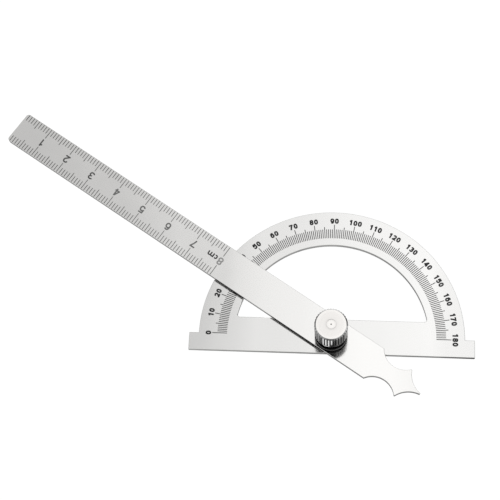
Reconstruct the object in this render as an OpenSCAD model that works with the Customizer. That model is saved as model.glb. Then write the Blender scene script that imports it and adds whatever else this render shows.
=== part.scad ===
// Angle finder: a semicircular protractor plate with one ruler arm that swings over it.
// The arm turns on a stud pressed into the plate and is clamped by a knurled thumb nut.
// The back of the plate is at z = 0, the pivot is on the Z axis and the base bar lies along X.

/* [Protractor plate] */
// Thickness of the plate
plate_t = 1.5; // [1.2:0.1:2]
// Outer radius of the protractor ring
arc_r = 39.7; // [36:0.1:44]
// Width of the ring, from its outer edge to the window
ring_w = 10.65; // [8:0.05:13]
// Width of the base bar, with the pivot on its middle line
bar_w = 10.5; // [10.2:0.1:14]
// How far each tab of the base bar reaches past the ring
tab_len = 2.9; // [1:0.1:6]
// Radius in the two corners of the window
window_corner_r = 0.8; // [0.3:0.1:2]

/* [Ruler arm] */
// Thickness of the arm
arm_t = 1.5; // [0.8:0.1:2]
// Width of the arm
arm_w = 10.8; // [10.2:0.1:13]
// From the pivot to the ruler end, where the centimetre scale starts
ruler_reach = 120.9; // [100:0.1:150]
// Radius of the two corners at the ruler end
tip_corner_r = 1; // [0.4:0.1:3]
// Angle from +X to the ruler end, as the arm is set
arm_angle = 147.08; // [140:0.01:155]

/* [Scalloped tail] */
// From the pivot to the shoulders where the scoops start
shoulder_at = 15.3; // [13:0.1:17]
// From the pivot to the two side points
prong_at = 25.6; // [24:0.1:28]
// From the middle line to each side point
prong_half = 4.7; // [4.4:0.05:5.2]
// From the pivot to the end point
tail_reach = 31.5; // [30.5:0.1:34]
// Depth of the scoop between a shoulder and a side point
side_scoop = 2.6; // [1.5:0.1:3.2]
// Depth of the scoop between a side point and the end point
end_scoop = 0.95; // [0.5:0.05:1.4]
// Width of the small flat that blunts each point
point_flat = 0.3; // [0.1:0.05:0.6]

/* [Pivot stud and washers] */
// Diameter of the stud
stud_d = 4; // [3:0.1:4.5]
// Diameter of the flush countersunk head in the back of the plate
head_d = 6; // [5.2:0.1:7.5]
// Depth of the countersunk head
head_h = 0.9; // [0.4:0.05:1.1]
// Bevel at the free end of the stud
stud_bevel = 0.4; // [0.1:0.05:0.8]
// Diameter of the washer between plate and arm
friction_washer_d = 10; // [8:0.1:10.2]
// Thickness of the washer between plate and arm
friction_washer_t = 0.3; // [0.2:0.05:1]
// Diameter of the washer under the nut
nut_washer_d = 9.8; // [8.5:0.1:10.6]
// Thickness of the washer under the nut
nut_washer_t = 0.4; // [0.3:0.1:1]
// Running clearance round the stud, on each side
pivot_clear = 0.05; // [0.02:0.01:0.1]

/* [Thumb nut] */
// Diameter over the knurl
nut_d = 9.8; // [8.5:0.05:12]
// Height of the whole nut
nut_h = 10.2; // [8:0.1:14]
// Diameter of the neck that stands on the washer
neck_d = 7.2; // [6:0.1:8]
// Height of the neck
neck_h = 3; // [1.5:0.1:4]
// Thickness left over the blind hole
crown_t = 1.8; // [1:0.1:3]
// Gap between the end of the stud and the bottom of the blind hole
stud_end_gap = 0.6; // [0.3:0.1:1.5]
// Height of the bevel round the top face
top_bevel_h = 0.45; // [0.2:0.05:1]
// Width of the bevel round the top face
top_bevel_w = 0.45; // [0.2:0.05:1]
// Height of the plain rim under the knurl
rim_h = 0.45; // [0.3:0.05:1]
// Bevel round the lower edge of the rim
rim_bevel = 0.1; // [0.05:0.05:0.25]
// Width of the groove between the rim and the knurl
groove_w = 0.4; // [0.2:0.05:0.8]
// Depth of the groove, at least that of a flute
groove_depth = 0.3; // [0.28:0.02:0.5]
// Radius where the neck runs into the head
neck_fillet = 0.3; // [0.1:0.05:0.5]
// Number of straight flutes in the knurl
flutes = 36; // [24:1:44]
// Depth of a flute
flute_depth = 0.28; // [0.1:0.02:0.4]
// Width of a flute at the surface
flute_w = 0.45; // [0.3:0.05:0.7]
// Diameter of the centre mark in the top face
centre_mark_d = 0.8; // [0.4:0.1:1.5]
// Depth of the centre mark
centre_mark_depth = 0.3; // [0.1:0.05:0.6]

/* [Hidden] */
$fn = 144;

// How far a cut runs past the face that it opens
overrun = 1;
// Turn of the flat on a side point from the middle line of the arm
side_point_turn = 27;
// How many times its own width the line of a point's flat runs on into the scoops
point_lead = 3;

window_r = arc_r - ring_w;
bar_half = bar_w / 2;
bar_end = arc_r + tab_len;
arm_half = arm_w / 2;
stud_r = stud_d / 2;
bore_r = stud_r + pivot_clear;
nut_r = nut_d / 2;

// Height of the bottom of the groove in the nut
groove_z = neck_h + rim_h + groove_w / 2;

// Heights of the stack on the stud
arm_z = plate_t + friction_washer_t;
nut_washer_z = arm_z + arm_t;
nut_z = nut_washer_z + nut_washer_t;
blind_hole_h = nut_h - crown_t;
stud_top = nut_z + blind_hole_h - stud_end_gap;

// Points of the tail on its left side, in the frame of the arm
shoulder = [-shoulder_at, arm_half];
side_point = [-prong_at, prong_half];
side_flat = [cos(side_point_turn), sin(side_point_turn)] * point_flat / 2;
end_point = [-tail_reach, point_flat / 2];

// A scoop is an arc through p and q whose middle lies a given depth inside the line p to q
function scoop_r(p, q, depth) = (pow(norm(q - p) / 2, 2) + pow(depth, 2)) / (2 * depth);
function outward(p, q) = [q[1] - p[1], p[0] - q[0]] / norm(q - p);
function scoop_centre(p, q, depth) = (p + q) / 2 + outward(p, q) * (scoop_r(p, q, depth) - depth);

module scoop(p, q, depth) {
    translate(scoop_centre(p, q, depth)) circle(scoop_r(p, q, depth));
}

module both_sides() {
    children();
    mirror([0, 1]) children();
}

module left_and_right() {
    children();
    mirror([1, 0]) children();
}

module half_disc(r, floor_y) {
    intersection() {
        circle(r);
        translate([-r, floor_y]) square([2 * r, r]);
    }
}

// The D-shaped window, with its two sharp corners swapped for small arcs
module window_outline() {
    corner_y = bar_half + window_corner_r;
    corner_x = sqrt(pow(window_r - window_corner_r, 2) - pow(corner_y, 2));
    corner = [corner_x, corner_y];
    past_ring = corner * (window_r + overrun) / norm(corner);
    difference() {
        half_disc(window_r, bar_half);
        left_and_right()
            polygon([
                corner,
                past_ring,
                [window_r + overrun, bar_half - overrun],
                [corner_x, bar_half - overrun]
            ]);
    }
    left_and_right() translate(corner) circle(window_corner_r);
}

module plate_outline() {
    difference() {
        union() {
            half_disc(arc_r, 0);
            translate([-bar_end, -bar_half]) square([2 * bar_end, bar_half]);
        }
        window_outline();
    }
}

// The head's countersink and the shank, as a solid of revolution from z = 0 up to a given height
module stud_shape(top_z, bevel) {
    rotate_extrude()
        polygon([
            [0, 0],
            [head_d / 2, 0],
            [stud_r, head_h],
            [stud_r, top_z - bevel],
            [stud_r - bevel, top_z],
            [0, top_z]
        ]);
}

module ring(outer_r, t) {
    difference() {
        cylinder(h = t, r = outer_r);
        translate([0, 0, -overrun]) cylinder(h = t + 2 * overrun, r = bore_r);
    }
}

// The whole outline of the arm. Its corners beside the points lie inside the scoops, so that each
// scoop crosses the sides, the flats and the end at an angle.
module arm_outline() {
    past_flat = side_flat * point_lead;
    end_half = point_flat * point_lead / 2;
    difference() {
        polygon([
            [ruler_reach, -arm_half],
            [ruler_reach, arm_half],
            [-(shoulder_at + prong_at) / 2, arm_half],
            side_point + past_flat,
            side_point - past_flat,
            [-tail_reach, end_half],
            [-tail_reach, -end_half],
            [side_point[0] - past_flat[0], past_flat[1] - side_point[1]],
            [side_point[0] + past_flat[0], -past_flat[1] - side_point[1]],
            [-(shoulder_at + prong_at) / 2, -arm_half]
        ]);
        both_sides() {
            scoop(shoulder, side_point + side_flat, side_scoop);
            scoop(side_point - side_flat, end_point, end_scoop);
            tip_corner();
        }
        circle(bore_r);
    }
}

// What is cut away outside the round corner at the ruler end
module tip_corner() {
    translate([ruler_reach - tip_corner_r, arm_half - tip_corner_r])
        difference() {
            square(tip_corner_r + overrun);
            circle(tip_corner_r);
        }
}

// The nut without its flutes: neck, rim, grooved and beveled head, blind hole and centre mark
module nut_blank() {
    neck_r = neck_d / 2;
    difference() {
        rotate_extrude()
            difference() {
                polygon([
                    [0, 0],
                    [neck_r, 0],
                    [neck_r, neck_h - neck_fillet],
                    [neck_r + neck_fillet, neck_h],
                    [nut_r - rim_bevel, neck_h],
                    [nut_r, neck_h + rim_bevel],
                    [nut_r, groove_z - groove_w / 2],
                    [nut_r - groove_depth, groove_z],
                    [nut_r, groove_z + groove_w / 2],
                    [nut_r, nut_h - top_bevel_h],
                    [nut_r - top_bevel_w, nut_h],
                    [centre_mark_d / 2, nut_h],
                    [0, nut_h - centre_mark_depth]
                ]);
                translate([neck_r + neck_fillet, neck_h - neck_fillet]) circle(neck_fillet);
            }
        translate([0, 0, -overrun]) cylinder(h = blind_hole_h + overrun, r = bore_r);
    }
}

// One V flute, cut from the top of the head down into the groove
module flute() {
    cut_depth = flute_depth + overrun;
    cut_half = flute_w / 2 * cut_depth / flute_depth;
    translate([nut_r - flute_depth, 0, groove_z])
        linear_extrude(nut_h - groove_z + overrun)
            polygon([[0, 0], [cut_depth, -cut_half], [cut_depth, cut_half]]);
}

module protractor_plate() {
    color("gainsboro")
        difference() {
            linear_extrude(plate_t) plate_outline();
            stud_shape(plate_t + overrun, 0);
        }
}

module pivot_stud() {
    color("silver") stud_shape(stud_top, stud_bevel);
}

module friction_washer() {
    color("dimgray") translate([0, 0, plate_t]) ring(friction_washer_d / 2, friction_washer_t);
}

module ruler_arm() {
    color("lightgray")
        translate([0, 0, arm_z])
            rotate([0, 0, arm_angle])
                linear_extrude(arm_t)
                    arm_outline();
}

module nut_washer() {
    color("gray") translate([0, 0, nut_washer_z]) ring(nut_washer_d / 2, nut_washer_t);
}

module knurled_nut() {
    color("whitesmoke")
        translate([0, 0, nut_z])
            difference() {
                nut_blank();
                for (i = [0 : flutes - 1]) rotate([0, 0, 360 * i / flutes]) flute();
            }
}

protractor_plate();
pivot_stud();
friction_washer();
ruler_arm();
nut_washer();
knurled_nut();
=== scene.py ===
"""Dresses the angle finder: a satin steel protractor, its ruler arm with etched scales, and a knurled nut.

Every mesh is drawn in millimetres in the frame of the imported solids, and is scaled to metres once,
when it becomes a piece. X runs along the base bar towards 180 degrees, Y towards 90 degrees, and Z
out of the flat back towards the nut. The pivot is on the Z axis.
"""

import logging
import math
from dataclasses import dataclass, field
from enum import Enum
from typing import Any, Callable, Iterable, Sequence

import bmesh
import bpy
from mathutils import Matrix, Vector
from mathutils.geometry import delaunay_2d_cdt


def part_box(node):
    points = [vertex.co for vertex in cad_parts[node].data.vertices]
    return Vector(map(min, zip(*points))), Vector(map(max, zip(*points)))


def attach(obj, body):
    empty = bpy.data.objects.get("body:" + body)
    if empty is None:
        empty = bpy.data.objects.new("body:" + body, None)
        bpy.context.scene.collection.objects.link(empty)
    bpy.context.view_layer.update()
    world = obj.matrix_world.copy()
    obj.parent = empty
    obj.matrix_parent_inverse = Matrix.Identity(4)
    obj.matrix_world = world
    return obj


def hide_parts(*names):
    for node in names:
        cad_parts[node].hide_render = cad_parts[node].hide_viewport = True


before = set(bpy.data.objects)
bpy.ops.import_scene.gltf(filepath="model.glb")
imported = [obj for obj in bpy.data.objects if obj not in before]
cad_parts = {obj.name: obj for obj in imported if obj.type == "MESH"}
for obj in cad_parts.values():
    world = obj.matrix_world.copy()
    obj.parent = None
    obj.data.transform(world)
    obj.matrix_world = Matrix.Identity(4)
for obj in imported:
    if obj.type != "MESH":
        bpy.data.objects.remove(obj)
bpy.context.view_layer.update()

LOG = logging.getLogger("angle_finder")

MM = 0.001
X, Y, Z = range(3)
# A face turns to a side where its normal has more than this share of that side's direction.
FACING = 0.5

Point = tuple[float, float]
Span = tuple[float, float]
Loop = list[Point]
Colour = tuple[float, float, float]


class Grain(Enum):
    """How the last tool left its lines on a steel surface."""

    BRUSHED = "brushed"
    TURNED = "turned"
    SHEARED = "sheared"


class End(Enum):
    """The low or the high end of a node along an axis."""

    LOW = 0
    HIGH = 1


def grey(tone: float) -> tuple[float, float, float, float]:
    """A grey of the given tone, as a socket's colour."""
    return (tone, tone, tone, 1.0)


def node_size(node: str, axis: int, end: End) -> float:
    """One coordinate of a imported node's box at rest, in millimetres."""
    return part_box(node)[end.value][axis] / MM


def levels(node: str) -> Span:
    """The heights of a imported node's foot and top at rest, in millimetres."""
    return node_size(node, Z, End.LOW), node_size(node, Z, End.HIGH)


def polar(radius: float, degrees: float) -> Point:
    """The point at a radius and an angle from +X."""
    turn = math.radians(degrees)
    return radius * math.cos(turn), radius * math.sin(turn)


def arc(centre: Point, radius: float, start: float, end: float, steps: int) -> Loop:
    """Points along an arc, both ends included.

    Args:
        centre: the middle of the arc.
        radius: its radius.
        start: the angle of the first point, in degrees.
        end: the angle of the last point, in degrees.
        steps: the number of straight pieces.

    Returns:
        The points in order from start to end.
    """
    points = []
    for i in range(steps + 1):
        x, y = polar(radius, start + (end - start) * i / steps)
        points.append((centre[0] + x, centre[1] + y))
    return points


def circle(radius: float, steps: int) -> Loop:
    """A full circle round the pivot, counter-clockwise, without its last point."""
    return arc((0.0, 0.0), radius, 0.0, 360.0, steps)[:-1]


def offset(line: Sequence[Point], distance: float, closed: bool) -> Loop:
    """Moves a flat line sideways and keeps its corners sharp.

    Args:
        line: the points of the line.
        distance: how far to move it, to the right of its direction.
        closed: whether the last point joins the first.

    Returns:
        As many points as the line has.
    """
    points = [Vector(p) for p in line]
    count = len(points)
    moved = []
    for i, point in enumerate(points):
        normals = []
        for a, b in ((i - 1, i), (i, i + 1)):
            if closed or (a >= 0 and b < count):
                step = (points[b % count] - points[a % count]).normalized()
                normals.append(Vector((step.y, -step.x)))
        first, last = normals[0], normals[-1]
        shift = (first + last) / (1.0 + first.dot(last))
        moved.append(tuple(point + shift * distance))
    return moved


def fill(loops: Sequence[Sequence[Point]], keep: Callable[[list[int]], bool]) -> tuple[list, list, list]:
    """Divides flat outlines into triangles.

    Args:
        loops: closed outlines, which may lie inside each other or overlap.
        keep: says for the numbers of the loops round a triangle whether it stays.

    Returns:
        The points, the triangles that stay, and for each point the numbers of its given points.
    """
    points = [Vector(p) for loop in loops for p in loop]
    faces, start = [], 0
    for loop in loops:
        faces.append(list(range(start, start + len(loop))))
        start += len(loop)
    inside_only, tolerance = 1, 1e-6
    made = delaunay_2d_cdt(points, [], faces, inside_only, tolerance)
    triangles = [t for t, owners in zip(made[2], made[5]) if keep(owners)]
    return made[0], triangles, made[3]


def smooth(mesh: bpy.types.Mesh, sharp_angle: float = 14.0) -> None:
    """Shades a mesh smooth, except across edges that turn more than the given degrees."""
    mesh.shade_smooth()
    mesh.set_sharp_from_angle(angle=math.radians(sharp_angle))


def to_mesh(work: bmesh.types.BMesh, name: str) -> bpy.types.Mesh:
    """Turns finished edit data into a mesh with its faces pointing outwards.

    Args:
        work: the edit data, which is freed.
        name: the mesh's name.

    Returns:
        The mesh.
    """
    bmesh.ops.recalc_face_normals(work, faces=work.faces)
    mesh = bpy.data.meshes.new(name)
    work.to_mesh(mesh)
    work.free()
    return mesh


def lathe(profile: Sequence[Point], steps: int, name: str) -> bpy.types.Mesh:
    """Turns a profile round the Z axis.

    Args:
        profile: radius and height of each corner. It closes on itself, unless it starts and ends
            on the axis.
        steps: the number of faces round the axis.
        name: the mesh's name.

    Returns:
        A closed mesh.
    """
    work = bmesh.new()
    rings = []
    for radius, height in profile:
        if radius == 0.0:
            rings.append([work.verts.new((0.0, 0.0, height))] * steps)
        else:
            rings.append([work.verts.new((*p, height)) for p in circle(radius, steps)])
    pairs = list(zip(rings, rings[1:]))
    if profile[0][0] != 0.0:
        pairs.append((rings[-1], rings[0]))
    for lower, upper in pairs:
        for i in range(steps):
            j = (i + 1) % steps
            corners = list(dict.fromkeys((lower[i], lower[j], upper[j], upper[i])))
            if len(corners) > 2:
                work.faces.new(corners)
    return to_mesh(work, name)


@dataclass(frozen=True)
class Ring:
    """One closed outline at one height."""

    outline: Loop
    height: float


@dataclass(frozen=True)
class StampedSheet:
    """A flat sheet with straight walls, holes, and edges that the stamping has rolled over."""

    back: float
    face: float
    roll_width: float = 0.08
    roll_drop: float = 0.049
    corner: float = 0.03

    def wall(self, outline: Loop, side: float = 1.0) -> list[Ring]:
        """The rings of one edge from the back to the face.

        Args:
            outline: the edge, counter-clockwise.
            side: 1 for the outside of the sheet and -1 for a hole.

        Returns:
            Four rings. The face has a shallow roll, and the back has a small corner.
        """
        return [
            Ring(offset(outline, -side * self.corner, closed=True), self.back),
            Ring(outline, self.back + self.corner),
            Ring(outline, self.face - self.roll_drop),
            Ring(offset(outline, -side * self.roll_width, closed=True), self.face),
        ]

    def build(self, walls: Sequence[Sequence[Ring]], name: str) -> bpy.types.Mesh:
        """Makes the sheet's mesh, with its walls in the second material slot.

        Args:
            walls: the rings of the outside, and then those of each hole.
            name: the mesh's name.

        Returns:
            A closed mesh.
        """
        work = bmesh.new()
        stacks = []
        for wall in walls:
            stacks.append([[work.verts.new((*p, ring.height)) for p in ring.outline] for ring in wall])
        for stack in stacks:
            for lower, upper in zip(stack, stack[1:]):
                for i in range(len(lower)):
                    j = (i + 1) % len(lower)
                    work.faces.new((lower[i], lower[j], upper[j], upper[i]))
        for level in (0, -1):
            corners = [corner for stack in stacks for corner in stack[level]]
            loops = [[tuple(corner.co.xy) for corner in stack[level]] for stack in stacks]
            _, triangles, sources = fill(loops, lambda owners: owners == [0])
            for triangle in triangles:
                work.faces.new([corners[sources[i][0]] for i in triangle])
        work.normal_update()
        for polygon in work.faces:
            polygon.material_index = 0 if abs(polygon.normal.z) > FACING else 1
        return to_mesh(work, name)


class TreeWriter:
    """Adds nodes to a shader tree or a geometry tree and wires them."""

    def __init__(self, tree: bpy.types.NodeTree) -> None:
        """Starts writing into a tree."""
        self.tree = tree

    def add(self, kind: str, inputs: dict | None = None, **settings: Any) -> bpy.types.Node:
        """Adds one node.

        Args:
            kind: the node's type.
            inputs: for each input's name or number, a value or another node's output.
            settings: the node's own properties.

        Returns:
            The node.
        """
        node = self.tree.nodes.new(kind)
        for name, value in settings.items():
            setattr(node, name, value)
        for key, value in (inputs or {}).items():
            if isinstance(value, bpy.types.NodeSocket):
                self.tree.links.new(value, node.inputs[key])
            else:
                node.inputs[key].default_value = value
        return node

    def math(self, operation: str, *values: Any) -> bpy.types.NodeSocket:
        """The result of one sum on numbers or outputs."""
        return self.add("ShaderNodeMath", dict(enumerate(values)), operation=operation).outputs[0]

    def blend(self, share: Any, first: Any, second: Any, kind: str = "MIX") -> bpy.types.NodeSocket:
        """A colour between two colours, by a share from 0 to 1, or their product."""
        mix = self.add("ShaderNodeMix", {0: share, 6: first, 7: second}, data_type="RGBA", blend_type=kind)
        return mix.outputs[2]

    def shade(self, where: Any, shades: Sequence[Point]) -> bpy.types.NodeSocket:
        """A tone that changes with a place.

        Args:
            where: the place.
            shades: pairs of a place and its tone, in order, with the places in the unit of where.

        Returns:
            The tone as a colour.
        """
        low, high = shades[0][0], shades[-1][0]
        share = self.add("ShaderNodeMapRange", {"Value": where, "From Min": low, "From Max": high})
        stops = [((at - low) / (high - low), (tone, tone, tone)) for at, tone in shades]
        return self.ramp(share.outputs[0], stops)

    def ramp(self, share: Any, stops: Sequence[tuple[float, Colour]]) -> bpy.types.NodeSocket:
        """A colour read from a ramp.

        Args:
            share: the place on the ramp, from 0 to 1.
            stops: pairs of a place on the ramp and its colour, in order.

        Returns:
            The colour.
        """
        node = self.add("ShaderNodeValToRGB", {0: share})
        elements = node.color_ramp.elements
        while len(elements) < len(stops):
            elements.new(0.5)
        for element, (position, colour) in zip(elements, stops):
            element.position = position
            element.color = (*colour, 1.0)
        return node.outputs[0]


def new_tree(
    name: str, kind: str, inputs: dict[str, tuple[str, Any]], outputs: dict[str, str]
) -> tuple[TreeWriter, bpy.types.Node, bpy.types.Node]:
    """Makes an empty node group.

    Args:
        name: its name.
        kind: the type of the tree.
        inputs: the socket type and the default value of each input.
        outputs: the socket type of each output.

    Returns:
        Its writer, its group input node and its group output node.
    """
    tree = bpy.data.node_groups.new(name, kind)
    for label, (socket_type, default) in inputs.items():
        socket = tree.interface.new_socket(name=label, in_out="INPUT", socket_type=socket_type)
        if default is not None:
            socket.default_value = default
    for label, socket_type in outputs.items():
        tree.interface.new_socket(name=label, in_out="OUTPUT", socket_type=socket_type)
    writer = TreeWriter(tree)
    return writer, writer.add("NodeGroupInput"), writer.add("NodeGroupOutput")


def grow(tree: bpy.types.NodeTree, values: dict[str, Any], name: str) -> bpy.types.Mesh:
    """Runs a geometry tree once and keeps its result as a plain mesh.

    Args:
        tree: the geometry tree.
        values: a value for each of its named inputs.
        name: the mesh's name.

    Returns:
        The mesh.
    """
    holder = bpy.data.objects.new(name, bpy.data.meshes.new(name))
    bpy.context.scene.collection.objects.link(holder)
    modifier = holder.modifiers.new("grow", "NODES")
    modifier.node_group = tree
    for item in tree.interface.items_tree:
        if item.in_out == "INPUT" and item.name in values:
            modifier[item.identifier] = values[item.name]
    graph = bpy.context.evaluated_depsgraph_get()
    mesh = bpy.data.meshes.new_from_object(holder.evaluated_get(graph), depsgraph=graph)
    mesh.name = name
    bpy.data.objects.remove(holder)
    return mesh


class SurfaceEffects:
    """The shader groups that the finishes share. Each puts out one mask from 0 to 1."""

    def __init__(self) -> None:
        """Builds the groups once."""
        self.lines = self._lines()
        self.rings = self._rings()
        self.haze = self._haze()

    @staticmethod
    def _lines() -> bpy.types.NodeTree:
        """Fine straight lines along X.

        Returns:
            The group, whose lines have the given length and width.
        """
        writer, given, result = new_tree(
            "brush_lines",
            "ShaderNodeTree",
            {
                "Vector": ("NodeSocketVector", None),
                "Line Length": ("NodeSocketFloat", 12.0 * MM),
                "Line Width": ("NodeSocketFloat", 0.2 * MM),
            },
            {"Lines": "NodeSocketFloat"},
        )
        width = given.outputs["Line Width"]
        size = writer.add("ShaderNodeCombineXYZ", {0: given.outputs["Line Length"], 1: width, 2: width})
        place = writer.add(
            "ShaderNodeVectorMath",
            {0: given.outputs["Vector"], 1: size.outputs[0]},
            operation="DIVIDE",
        )
        noise = writer.add(
            "ShaderNodeTexNoise",
            {"Vector": place.outputs[0], "Scale": 1.0, "Detail": 3.0, "Roughness": 0.6},
        )
        writer.tree.links.new(noise.outputs["Fac"], result.inputs["Lines"])
        return writer.tree

    @staticmethod
    def _rings() -> bpy.types.NodeTree:
        """Fine rings round the Z axis, as a lathe tool leaves them.

        Returns:
            The group, whose rings have the given width.
        """
        writer, given, result = new_tree(
            "turned_rings",
            "ShaderNodeTree",
            {"Vector": ("NodeSocketVector", None), "Ring Width": ("NodeSocketFloat", 0.15 * MM)},
            {"Rings": "NodeSocketFloat"},
        )
        place = writer.add("ShaderNodeSeparateXYZ", {0: given.outputs["Vector"]})
        across = writer.math("POWER", place.outputs[0], 2.0)
        along = writer.math("POWER", place.outputs[1], 2.0)
        radius = writer.math("SQRT", writer.math("ADD", across, along))
        noise = writer.add(
            "ShaderNodeTexNoise",
            {"W": writer.math("DIVIDE", radius, given.outputs["Ring Width"]), "Scale": 1.0, "Detail": 2.0},
            noise_dimensions="1D",
        )
        writer.tree.links.new(noise.outputs["Fac"], result.inputs["Rings"])
        return writer.tree

    @staticmethod
    def _haze() -> bpy.types.NodeTree:
        """Soft patches, as handling and uneven polishing leave them.

        Returns:
            The group, whose patches have the given size.
        """
        writer, given, result = new_tree(
            "handling_haze",
            "ShaderNodeTree",
            {"Vector": ("NodeSocketVector", None), "Patch Size": ("NodeSocketFloat", 9.0 * MM)},
            {"Haze": "NodeSocketFloat"},
        )
        per_patch = writer.math("DIVIDE", 1.0, given.outputs["Patch Size"])
        noise = writer.add(
            "ShaderNodeTexNoise",
            {"Vector": given.outputs["Vector"], "Scale": per_patch, "Detail": 4.0, "Roughness": 0.55},
        )
        clear = writer.add(
            "ShaderNodeMapRange",
            {"Value": noise.outputs["Fac"], "From Min": 0.3, "From Max": 0.7},
        )
        writer.tree.links.new(clear.outputs[0], result.inputs["Haze"])
        return writer.tree


def place_effect(writer: TreeWriter, group: bpy.types.NodeTree, values: dict) -> bpy.types.NodeSocket:
    """Places a shared group in a material.

    Args:
        writer: the material's writer.
        group: the group.
        values: for each input's name, a value or another node's output.

    Returns:
        The group's mask.
    """
    node = writer.add("ShaderNodeGroup", node_tree=group)
    for name, value in values.items():
        if isinstance(value, bpy.types.NodeSocket):
            writer.tree.links.new(value, node.inputs[name])
        else:
            node.inputs[name].default_value = value
    return node.outputs[0]


def shaded(writer: TreeWriter, colour: Any, where: Any, shades: Sequence[Point]) -> bpy.types.NodeSocket:
    """Tones a colour by its place.

    Args:
        writer: the material's writer.
        colour: the colour.
        where: the place, in metres.
        shades: pairs of a place in millimetres and the tone there, in order.

    Returns:
        The toned colour.
    """
    tone = writer.shade(where, [(at * MM, tone) for at, tone in shades])
    return writer.blend(1.0, colour, tone, "MULTIPLY")


@dataclass(frozen=True)
class SteelFinish:
    """Bare or plated steel with the lines of its last tool.

    Its shades are pairs of a place in millimetres and the tone there. The place is the distance
    from the Z axis on turned steel, and otherwise X.
    """

    name: str
    light: Colour
    dark: Colour
    roughness: float
    roughness_spread: float = 0.05
    grain: Grain = Grain.BRUSHED
    grain_turn: float = 0.0
    grain_width: float = 0.2 * MM
    grain_length: float = 12.0 * MM
    grain_depth: float = 0.0008 * MM
    patch_size: float = 9.0 * MM
    patch_share: float = 0.6
    shades: tuple[Point, ...] = ()
    rim_tone: float = 1.0

    def material(self, effects: SurfaceEffects) -> bpy.types.Material:
        """Makes the finish.

        Args:
            effects: the shared shader groups.

        Returns:
            The material.
        """
        material = bpy.data.materials.new(self.name)
        material.use_nodes = True
        writer = TreeWriter(material.node_tree)
        shader = material.node_tree.nodes["Principled BSDF"]
        place = writer.add("ShaderNodeTexCoord").outputs["Object"]
        haze = place_effect(writer, effects.haze, {"Vector": place, "Patch Size": self.patch_size})
        marks = self._marks(writer, effects, place)
        grain = writer.math("MULTIPLY", marks, 1.0 - self.patch_share)
        both = writer.math("MULTIPLY_ADD", haze, self.patch_share, grain)
        colour = writer.blend(both, (*self.dark, 1.0), (*self.light, 1.0))
        if self.shades:
            colour = shaded(writer, colour, self._where(writer, place), self.shades)
        off_middle = writer.math("SUBTRACT", both, 0.5)
        spread = writer.math("MULTIPLY", off_middle, self.roughness_spread * 2.0)
        bump = writer.add(
            "ShaderNodeBump",
            {"Height": marks, "Distance": self.grain_depth, "Strength": 1.0},
        )
        links = material.node_tree.links
        links.new(colour, shader.inputs["Base Color"])
        links.new(writer.math("ADD", spread, self.roughness), shader.inputs["Roughness"])
        links.new(bump.outputs["Normal"], shader.inputs["Normal"])
        shader.inputs["Metallic"].default_value = 1.0
        shader.inputs["Specular Tint"].default_value = grey(self.rim_tone)
        return material

    def _where(self, writer: TreeWriter, place: Any) -> bpy.types.NodeSocket:
        """What the shades go by.

        Args:
            writer: the material's writer.
            place: the place on the piece.

        Returns:
            The distance from the Z axis on turned steel, and otherwise X.
        """
        if self.grain is not Grain.TURNED:
            return writer.add("ShaderNodeSeparateXYZ", {0: place}).outputs[0]
        flat = writer.add("ShaderNodeVectorMath", {0: place, 1: (1.0, 1.0, 0.0)}, operation="MULTIPLY")
        return writer.add("ShaderNodeVectorMath", {0: flat.outputs[0]}, operation="LENGTH").outputs["Value"]

    def _marks(self, writer: TreeWriter, effects: SurfaceEffects, place: Any) -> bpy.types.NodeSocket:
        """The lines of the last tool.

        Args:
            writer: the material's writer.
            effects: the shared shader groups.
            place: the place on the piece.

        Returns:
            A mask from 0 to 1.
        """
        if self.grain is Grain.TURNED:
            rings = {"Vector": place, "Ring Width": self.grain_width}
            return place_effect(writer, effects.rings, rings)
        turn = (0.0, 0.0, -math.radians(self.grain_turn))
        if self.grain is Grain.SHEARED:
            turn = (0.0, math.radians(90.0), 0.0)
        turned = writer.add("ShaderNodeMapping", {"Vector": place, "Rotation": turn}).outputs[0]
        lines = {"Vector": turned, "Line Length": self.grain_length, "Line Width": self.grain_width}
        return place_effect(writer, effects.lines, lines)


@dataclass(frozen=True)
class InkFinish:
    """The dark filling of etched marks and numbers, with shades along X as on steel."""

    name: str
    light: Colour
    dark: Colour
    roughness: float = 0.5
    speck_size: float = 0.15 * MM
    shades: tuple[Point, ...] = ()

    def material(self, effects: SurfaceEffects) -> bpy.types.Material:
        """Makes the finish.

        Args:
            effects: the shared shader groups.

        Returns:
            The material.
        """
        material = bpy.data.materials.new(self.name)
        material.use_nodes = True
        writer = TreeWriter(material.node_tree)
        shader = material.node_tree.nodes["Principled BSDF"]
        place = writer.add("ShaderNodeTexCoord").outputs["Object"]
        specks = place_effect(writer, effects.haze, {"Vector": place, "Patch Size": self.speck_size})
        colour = writer.blend(specks, (*self.dark, 1.0), (*self.light, 1.0))
        if self.shades:
            x = writer.add("ShaderNodeSeparateXYZ", {0: place}).outputs[0]
            colour = shaded(writer, colour, x, self.shades)
        material.node_tree.links.new(colour, shader.inputs["Base Color"])
        shader.inputs["Roughness"].default_value = self.roughness
        return material


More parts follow.
